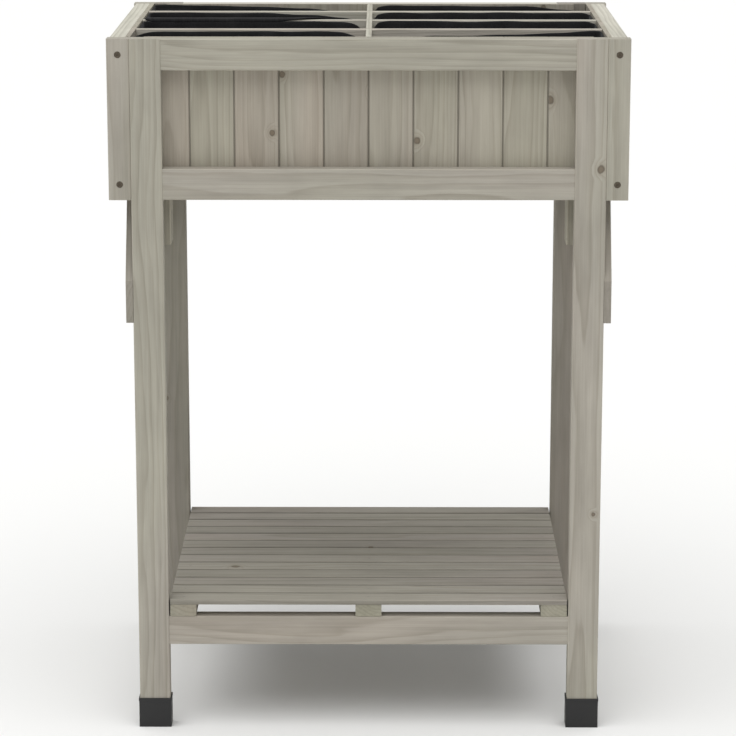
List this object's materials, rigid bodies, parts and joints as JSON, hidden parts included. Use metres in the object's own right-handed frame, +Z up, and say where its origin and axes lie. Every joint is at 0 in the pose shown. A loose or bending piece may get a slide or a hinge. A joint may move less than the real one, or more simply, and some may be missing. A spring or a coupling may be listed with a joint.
{
  "type": "raised planter",
  "caption": "Raised wooden planter on legs with a boarded box divided into lined cells, slanted side braces, black foot caps and a slatted lower shelf.",
  "frame": {"origin": "on the floor, under the middle of the planter's plan", "axes": "+Z up, +X to the right of someone facing the front, +Y from the front to the back"},
  "size_m": [0.58, 0.4032, 0.8],
  "materials": {
    "grey_wood": "matte grey wash",
    "board_wood": "matte grey wash",
    "divider_wood": "matte grey wash",
    "slat_wood": "matte grey wash",
    "hidden_wood": "matte grey wash",
    "dowel_wood": "plain",
    "plastic_black": "fine moulded texture",
    "liner_fabric": "non-woven felt",
    "screw_steel": "dark coated"
  },
  "bodies": {
    "root": {"leg_front_left": "grey_wood", "leg_front_right": "grey_wood", "leg_back_left": "grey_wood", "leg_back_right": "grey_wood", "foot_cap_front_left": "plastic_black", "foot_cap_front_right": "plastic_black", "foot_cap_back_left": "plastic_black", "foot_cap_back_right": "plastic_black", "corner_post_front_left": "hidden_wood", "corner_post_front_right": "hidden_wood", "corner_post_back_left": "hidden_wood", "corner_post_back_right": "hidden_wood", "brace_front_left": "grey_wood", "brace_front_right": "grey_wood", "brace_back_left": "grey_wood", "brace_back_right": "grey_wood", "stile_front_left": "grey_wood", "stile_front_right": "grey_wood", "stile_back_left": "grey_wood", "stile_back_right": "grey_wood", "front_top_rail": "grey_wood", "front_bottom_rail": "grey_wood", "back_top_rail": "grey_wood", "back_bottom_rail": "grey_wood", "left_top_rail": "grey_wood", "left_bottom_rail": "grey_wood", "right_top_rail": "grey_wood", "right_bottom_rail": "grey_wood", "front_boards": "board_wood", "back_boards": "board_wood", "left_boards": "board_wood", "right_boards": "board_wood", "centre_divider": "divider_wood", "cross_divider_front": "divider_wood", "cross_divider_middle": "divider_wood", "cross_divider_back": "divider_wood", "floor_bearer_front": "hidden_wood", "floor_bearer_back": "hidden_wood", "floor_bearer_left": "hidden_wood", "floor_bearer_right": "hidden_wood", "floor_boards": "hidden_wood", "front_stretcher": "grey_wood", "back_stretcher": "grey_wood", "shelf_batten_left": "hidden_wood", "shelf_batten_centre": "hidden_wood", "shelf_batten_right": "hidden_wood", "shelf_slats": "slat_wood", "liner_row1_left": "liner_fabric", "liner_row1_right": "liner_fabric", "liner_row2_left": "liner_fabric", "liner_row2_right": "liner_fabric", "liner_row3_left": "liner_fabric", "liner_row3_right": "liner_fabric", "liner_row4_left": "liner_fabric", "liner_row4_right": "liner_fabric", "stile_screws": "screw_steel", "post_screws": "screw_steel", "brace_screws": "screw_steel", "shelf_nails": "screw_steel", "dowels": "dowel_wood"}
  },
  "joints": []
}
